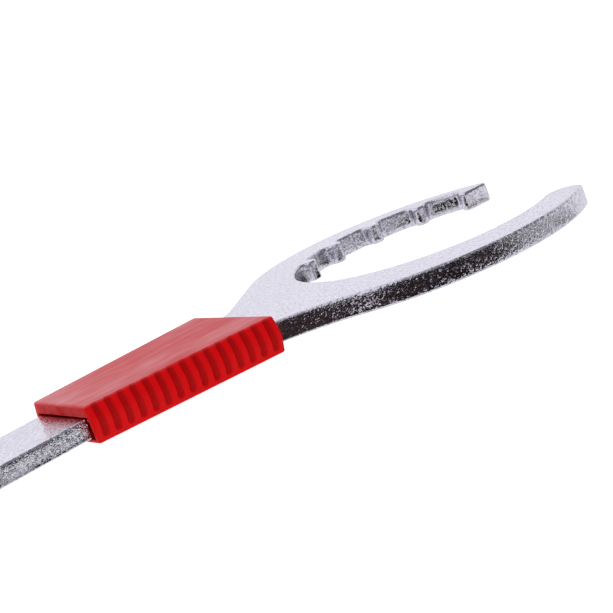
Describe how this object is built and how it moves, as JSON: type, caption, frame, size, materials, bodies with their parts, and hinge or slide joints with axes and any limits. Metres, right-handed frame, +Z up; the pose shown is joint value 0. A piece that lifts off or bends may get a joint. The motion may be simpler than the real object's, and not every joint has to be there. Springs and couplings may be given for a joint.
{
  "type": "basin wrench",
  "caption": "Flat open-jaw basin wrench: a plated steel plate with a large C-shaped jaw, rounded lugs on one arm, and a ribbed plastic grip sleeve that slides on its shank.",
  "frame": {"origin": "centre of the jaw, level with the flat underside of the head", "axes": "+X from the handle to the jaw, +Y towards the arm that carries the lugs, +Z up through the two faces of the head"},
  "size_m": [0.2459, 0.089, 0.0097],
  "materials": {
    "plated_steel": "bright plating over a finely pebbled casting skin",
    "red_plastic": "satin gloss moulding with upright grooves on both sides"
  },
  "bodies": {
    "wrench": {"wrench_plate": "plated_steel"},
    "sleeve": {"grip_sleeve": "red_plastic"}
  },
  "joints": [
    {"name": "sleeve_slide", "type": "slide", "parent": "wrench", "child": "sleeve", "axis": [-0.9998, 0, -0.022], "range_m": [0, 0.095]}
  ]
}
